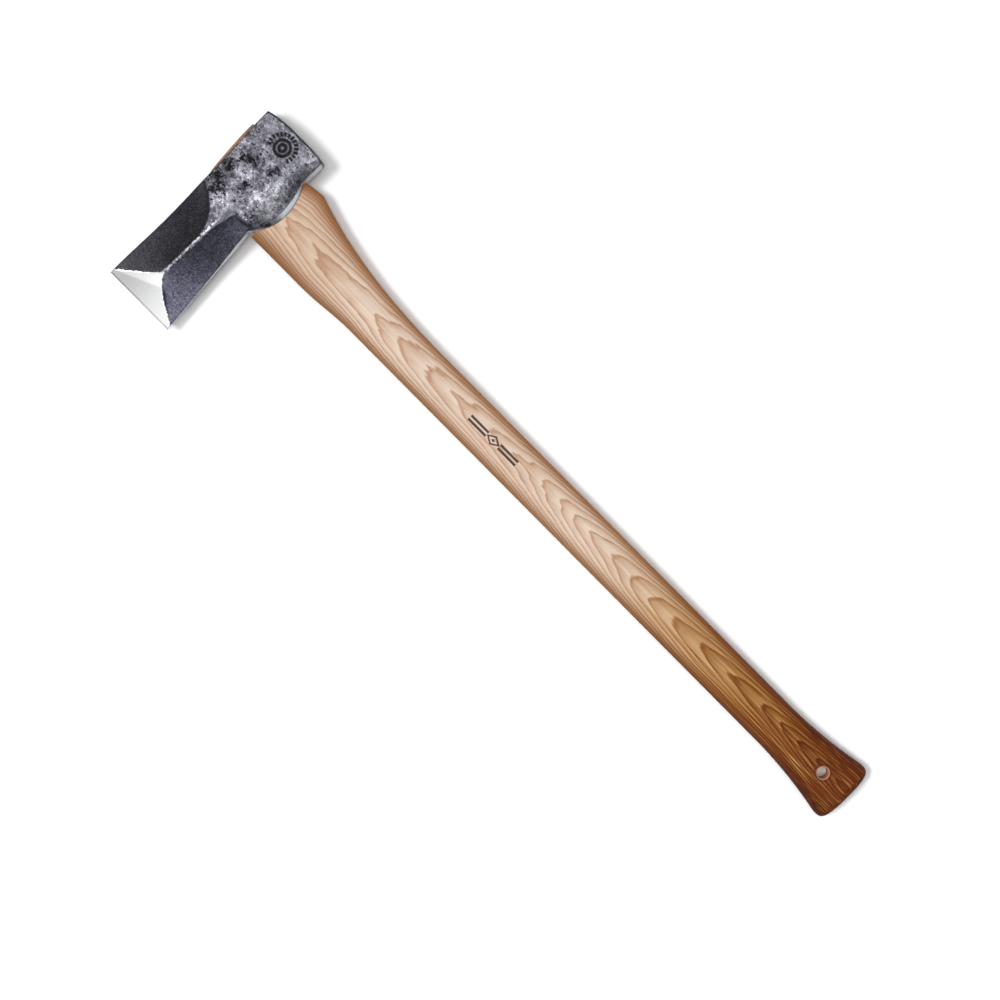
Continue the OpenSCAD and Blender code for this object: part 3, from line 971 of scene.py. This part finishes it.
def edges_worn_and_lit(g, m, colour):
    """Bright wear along the ridge, a painted highlight on the lug's crescent, the rim below painted
    paler as worn metal with a painted reflection of the floor, and the dark poll rim.
    """
    worn = g.smooth(0.42, 0.56, g.times(m.ridge, g.math("ADD", m.stray, 0.66)))
    colour = g.tint(colour, worn, 0.85, WORN_RIDGE)
    rubbed = g.smooth(0.42, 0.56, m.tone)
    cover = g.math("MAXIMUM", g.times(m.glow, 0.9), rubbed)
    # Painted highlight: a bluish-white reflection on the lug's rounded crescent, brightest in the middle
    # of the arc.
    colour = g.tint(colour, m.crescent, cover, g.mix(m.glow, CRESCENT_DARK, CRESCENT_HIGHLIGHT))
    # The rim below the ridge painted paler: worn metal, and a painted reflection of the floor.
    colour = g.tint(colour, m.under, 0.85, g.mix(rubbed, UNDER_DARK, UNDER_PALE))
    return g.tint(colour, m.poll_rim, 0.8, RIM_BLACK)


def steel_roughness(g, m):
    rough = g.mix_value(m.spots, g.mix_value(m.hollows, 0.44, 0.5), 0.6)
    rough = g.math("MULTIPLY_ADD", g.minus(m.blotch, 0.5), 0.3, rough)
    return g.mix_value(m.ground, g.mix_value(m.crescent, rough, 0.35), 0.26)


def steel_metal(g, m):
    """How far each place looks like bare metal: less where scale lies over it, and where the crescent's
    painted highlight is brightest.
    """
    metallic = g.mix_value(m.spots, g.mix_value(m.hollows, 0.95, 0.75), 1.0)
    return g.mix_value(g.times(m.crescent, m.glow), metallic, 0.2)


def forged_steel():
    g = Graph("forged_steel")
    place = g.tool_place()
    m = steel_masks(g, place)
    colour = g.mix(m.upper, bulge_colour(g, place, m), shaded_upper_hollow(g, m))
    colour = g.mix(m.lower, colour, lower_hollow(g, place, m))
    colour = edges_worn_and_lit(g, m, colour)
    # Painted reflection: the ground bevel is painted paler from toe to heel, as its reflection of the
    # light brightens.
    colour = g.mix(m.ground, colour, g.mix(g.smooth(12, 72, place[0]), GROUND_TOE, GROUND_HEEL))
    rugged = g.blend([(m.blotch, 0.3), (m.grain, 0.16), (m.flecks, 0.22), (m.scratch, 0.06),
                      (m.spots, -0.06)])
    strokes = g.times(g.noise(place, (0.5, 14, 14), 2, 0.5), 0.006)
    height = g.mix_value(m.ground, rugged, strokes)
    return g.finish(colour, steel_roughness(g, m), steel_metal(g, m), height, 0.001)


PITH_HEIGHT, PITH_SLOPE, PITH_ASIDE = 91.0, 0.085, 5.0
SWING_DOWN, SWING_ASIDE, WAVER = 12.0, 18.0, 3.0
RIPPLE, CALM_RIPPLE, CALM_START, CALM_FULL = 2.4, 0.5, 380.0, 540.0
RING_WIDTH = 2.6
PALE_WOOD, PALE_STREAK, FIBRE_TINT = (0.705, 0.575, 0.465), (0.635, 0.487, 0.38), (0.5, 0.32, 0.2)
LINE_FACE, LINE_SIDE, PORE_TINT = (0.44, 0.23, 0.12), (0.33, 0.15, 0.065), (0.25, 0.11, 0.045)
SWELL_TINT, SIDE_GRAIN_AND_SHADE, FRONT_SIDE_SHADE = (0.84, 0.76, 0.68), (0.66, 0.38, 0.17), (0.78, 0.84, 0.94)
TOP_TINT, END_TINT = (0.5, 0.3, 0.16), (0.35, 0.25, 0.2)
SMOKE_START, SMOKE_POWER, SMOKE_STOPS = 470.0, 1.5, 7
SMOKE_TINT = (0.19, 0.053, 0.004)
STREAK_START, STREAK_FULL, STREAK_PULL, KNOB_PULL = 650.0, 760.0, 1.2, 1.9
HOLE_RIM_SHADE, BORE_BARE_AND_LIT = (0.42, 0.27, 0.18), (0.78, 0.42, 0.27)
PRINT_LEVEL, PRINT_INK = 351.0, (0.025, 0.018, 0.016)
BAR_MIDDLE, BAR_HALF, BAR_APART, BAR_THICK = 18.5, 11.0, 2.0, 1.15
LOZENGE, LOZENGE_SLANT, LOZENGE_LINE, LOZENGE_DOT = 5.2, 0.62, 0.85, 3.8


def year_rings(g, x, y, z):
    """Lines of the year rings, which run round a pith above the handle and meet it at a slant."""
    place = (x, y, z)
    swing = g.minus(g.noise(place, (240, 90, 90), 1, 0.5), 0.5)
    depth = g.minus(g.minus(PITH_HEIGHT, g.times(x, PITH_SLOPE)), z)
    depth = g.math("MULTIPLY_ADD", swing, SWING_DOWN, depth)
    aside = g.minus(y, g.math("MULTIPLY_ADD", swing, SWING_ASIDE, PITH_ASIDE))
    radius = g.distance(depth, aside)
    waver = g.noise(place, (60, 14, 14), 2, 0.5)
    radius = g.math("MULTIPLY_ADD", g.minus(waver, 0.5), WAVER, radius)
    ripple = g.noise(place, (24, 7, 7), 2, 0.55)
    reach = g.mix_value(g.smooth(CALM_START, CALM_FULL, x), RIPPLE, CALM_RIPPLE)
    radius = g.math("MULTIPLY_ADD", g.minus(ripple, 0.5), reach, radius)
    ring = g.math("FRACT", g.math("DIVIDE", radius, RING_WIDTH))
    late = g.blend([(g.smooth(0.1, 0.95, ring), 0.55), (g.smooth(0.78, 0.98, ring), 0.45)])
    return g.math("MAXIMUM", g.minus(1, g.smooth(0.0, 0.12, ring)), late)


def pale_wood(g, x, y, m):
    """The wood before it is stained, darker and browner on its sides from denser grain and painted
    shade, and browner at its top.
    """
    colour = g.mix(g.smooth(0.3, 0.7, m.streak), PALE_WOOD, PALE_STREAK)
    colour = g.tint(colour, g.smooth(0.45, 0.75, m.fibre), 0.22, FIBRE_TINT)
    colour = g.tint(colour, m.line, g.mix_value(m.side, 0.8, 0.95), g.mix(m.side, LINE_FACE, LINE_SIDE))
    colour = g.tint(colour, g.smooth(200, 90, x), 0.6, SWELL_TINT, "MULTIPLY")
    colour = g.tint(colour, m.pore, 0.5, PORE_TINT)
    # Painted shade: the sides are darkened and browned, partly for their denser grain.
    colour = g.mix(m.side, colour, SIDE_GRAIN_AND_SHADE, "MULTIPLY")
    # Painted shade: more darkening on the front side, away from the key light.
    colour = g.tint(colour, m.side, g.smooth(4, -4, y), FRONT_SIDE_SHADE, "MULTIPLY")
    return g.tint(colour, g.smooth(6.5, 4, x), 0.8, TOP_TINT, "MULTIPLY")


def smoke(g, x, m):
    """The stain, which deepens towards the knob and which the streaks take up unevenly."""
    pull = g.mix_value(g.smooth(STREAK_START, STREAK_FULL, x), STREAK_PULL, KNOB_PULL)
    uptake = g.blend([(m.streak, 0.9), (m.fibre, 0.5), (m.line, 0.5)])
    uptake = g.math("MULTIPLY_ADD", g.minus(m.thread, 0.5), pull, uptake)
    rise = g.math("POWER", g.clamped(SMOKE_START, OVERALL - 20, x), SMOKE_POWER)
    node = g.node("ShaderNodeValToRGB", {"Fac": g.times(rise, g.math("ADD", uptake, 0.07))})
    ramp = node.color_ramp
    while len(ramp.elements) < SMOKE_STOPS:
        ramp.elements.new(0.5)
    for k, stop in enumerate(ramp.elements):
        stop.position = k / (SMOKE_STOPS - 1)
        stop.color = (*[channel**stop.position for channel in SMOKE_TINT], 1)
    return node.outputs[0]


def knob_wood(g, x, y, colour):
    """Painted shade in a ring round the hanging hole's rounded rim, the bore painted pale as bare wood
    and as painted light against its shade, and a dark end to the knob.
    """
    from_hole = g.distance(g.minus(x, HOLE_LEVEL), y)
    off_rim = g.math("ABSOLUTE", g.minus(from_hole, HOLE_RADIUS + HOLE_RIM))
    # Painted shade: a dark ring round the rounded rim of the hanging hole.
    colour = g.tint(colour, g.smooth(0.9, 0.2, off_rim), 0.45, HOLE_RIM_SHADE, "MULTIPLY")
    inside = g.smooth(HOLE_RADIUS + 1.2, HOLE_RADIUS + 0.2, from_hole)
    # The bore painted pale: bare wood, and painted light against the shade inside it.
    colour = g.tint(colour, inside, 0.85, BORE_BARE_AND_LIT)
    return g.tint(colour, g.smooth(OVERALL - 6, OVERALL - 1, x), 0.6, END_TINT, "MULTIPLY")


def print_mark(g, x, y):
    """A plain printed band on the flat of the handle: pairs of bars with a lozenge between them."""
    along = g.math("ABSOLUTE", g.minus(x, PRINT_LEVEL))
    across = g.math("ABSOLUTE", y)
    past_end = g.minus(g.math("ABSOLUTE", g.minus(along, BAR_MIDDLE)), BAR_HALF)
    past_side = g.minus(g.math("ABSOLUTE", g.minus(across, BAR_APART)), BAR_THICK)
    bar = g.math("MAXIMUM", past_end, past_side)
    lozenge = g.minus(g.math("MULTIPLY_ADD", along, LOZENGE_SLANT, across), LOZENGE)
    outline = g.minus(g.math("ABSOLUTE", g.math("ADD", lozenge, 1.1)), LOZENGE_LINE)
    inner = g.math("MINIMUM", outline, g.math("ADD", lozenge, LOZENGE_DOT))
    return g.smooth(0.25, -0.25, g.math("MINIMUM", bar, inner))


def ash_wood():
    g = Graph("ash_wood")
    place = g.tool_place()
    x, y, z = place
    m = SimpleNamespace()
    m.side, upper_face = g.attribute("grain")[:2]
    m.line = year_rings(g, x, y, z)
    m.fibre = g.noise(place, (45, 0.55, 0.55), 3, 0.6)
    m.streak = g.noise(place, (90, 2.6, 2.6), 2, 0.5)
    m.thread = g.noise(place, (70, 1.25, 1.25), 2, 0.5)
    m.pore = g.times(g.smooth(0.56, 0.68, g.noise(place, (7, 0.32, 0.32), 2, 0.6)), m.line)
    colour = g.mix(1.0, pale_wood(g, x, y, m), smoke(g, x, m), "MULTIPLY")
    colour = knob_wood(g, x, y, colour)
    printed = g.times(print_mark(g, x, y), upper_face)
    colour = g.tint(colour, printed, 0.92, PRINT_INK)
    rough = g.math("MULTIPLY_ADD", m.fibre, 0.16, 0.6)
    height = g.blend([(m.fibre, 0.06), (m.pore, -0.12)])
    return g.finish(colour, rough, 0.0, height, 0.001, 0.15)


def wedge_wood():
    g = Graph("wedge_wood")
    place = g.tool_place()
    fibre = g.noise(place, (40, 0.7, 0.7), 3, 0.6)
    flake = g.noise(place, (3, 2.2, 0.6), 2, 0.6)
    colour = g.mix(g.smooth(0.3, 0.7, fibre), (0.5, 0.29, 0.14), (0.33, 0.165, 0.07))
    colour = g.tint(colour, g.smooth(0.5, 0.7, flake), 0.35, (0.2, 0.09, 0.035))
    return g.finish(colour, 0.55, 0.0, fibre, 0.0001, 0.35)


def ring_steel():
    g = Graph("ring_steel")
    place = g.tool_place()
    blotch = g.noise(place, 2.5, 4, 0.6)
    colour = g.mix(g.smooth(0.35, 0.7, blotch), (0.52, 0.52, 0.53), (0.26, 0.26, 0.28))
    rough = g.mix_value(blotch, 0.25, 0.5)
    return g.finish(colour, rough, 1.0, blotch, 0.00006)


def finish_piece(obj, node, material):
    obj.data.materials.clear()
    obj.data.materials.append(material)
    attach(obj, "root")
    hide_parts(node)


def dress_wedges():
    """The wedges keep their CAD shape."""
    for node, material in (("kerf_wedge", wedge_wood()), ("ring_wedge", ring_steel())):
        obj = frame["nodes"][node]
        for holder in obj.material_slots:
            holder.material = material
        if not obj.material_slots:
            obj.data.materials.append(material)


# ---- Floor, light and camera ----

FLOOR_HALF, FLOOR_COLOUR = 30.0, (0.93, 0.93, 0.93)
KEY_SLANT = 0.34
SKY_LOW, SKY_HIGH, SKY_COLOUR = 0.12, 0.5, (0.95, 0.97, 1, 1)
CAMERA_TURN = 45.24
CAMERA_DISTANCE = 3.3
CAMERA_PLACE = (-0.007, 0.0015, CAMERA_DISTANCE + 0.025)
VIEW_WIDTH = 0.8925


def floor():
    mesh = bpy.data.meshes.new("floor")
    corners = [(-1, -1), (1, -1), (1, 1), (-1, 1)]
    mesh.from_pydata([(x * FLOOR_HALF, y * FLOOR_HALF, 0) for x, y in corners], [], [(0, 1, 2, 3)])
    g = Graph("pale_floor")
    g.put(g.shader.inputs["Base Color"], FLOOR_COLOUR)
    g.put(g.shader.inputs["Roughness"], 0.9)
    mesh.materials.append(g.material)
    add("floor", mesh)


def aim(obj, place, target):
    obj.location = place
    obj.rotation_euler = (Vector(target) - Vector(place)).to_track_quat("-Z", "Y").to_euler()


def area_light(name, place, target, size, power):
    data = bpy.data.lights.new(name, "AREA")
    data.shape = "RECTANGLE"
    data.size, data.size_y = size
    data.energy = power
    aim(add(name, data), place, target)


def sun(name, direction, strength, spread):
    """A far light that comes from this direction."""
    data = bpy.data.lights.new(name, "SUN")
    data.energy = strength
    data.angle = math.radians(spread)
    aim(add(name, data), direction, (0, 0, 0))


def lights():
    """A soft light overhead, a key from the picture's left and a box for the ground bevels."""
    turn = math.radians(CAMERA_TURN)
    sun("overhead", (0, 0, 1), 0.95, 16)
    sun("key", (-KEY_SLANT * math.cos(turn), -KEY_SLANT * math.sin(turn), 1), 1.7, 11)
    area_light("bevel_box", (-0.36, -0.95, 1.4), (-0.36, -0.02, 0.02), (1.3, 0.9), 1.3)


def sky():
    """Even surroundings that are brighter overhead."""
    world = bpy.data.worlds.new("studio")
    world.use_nodes = True
    nodes, links = world.node_tree.nodes, world.node_tree.links
    direction = nodes.new("ShaderNodeTexCoord").outputs["Generated"]
    height = nodes.new("ShaderNodeSeparateXYZ")
    ramp = nodes.new("ShaderNodeMapRange")
    ramp.inputs["To Min"].default_value = SKY_LOW
    ramp.inputs["To Max"].default_value = SKY_HIGH
    links.new(direction, height.inputs[0])
    links.new(height.outputs["Z"], ramp.inputs["Value"])
    links.new(ramp.outputs[0], nodes["Background"].inputs["Strength"])
    nodes["Background"].inputs["Color"].default_value = SKY_COLOUR
    bpy.context.scene.world = world


def camera():
    data = bpy.data.cameras.new("camera")
    data.sensor_width = 36
    data.lens = data.sensor_width * CAMERA_DISTANCE / VIEW_WIDTH
    obj = add("camera", data)
    turn = Matrix.Rotation(math.radians(CAMERA_TURN), 4, "Z")
    obj.matrix_world = Matrix.Translation(CAMERA_PLACE) @ turn
    bpy.context.scene.camera = obj


camera()
make_head()
make_handle()
dress_wedges()
floor()
lights()
sky()
bpy.context.scene.view_settings.view_transform = "Standard"
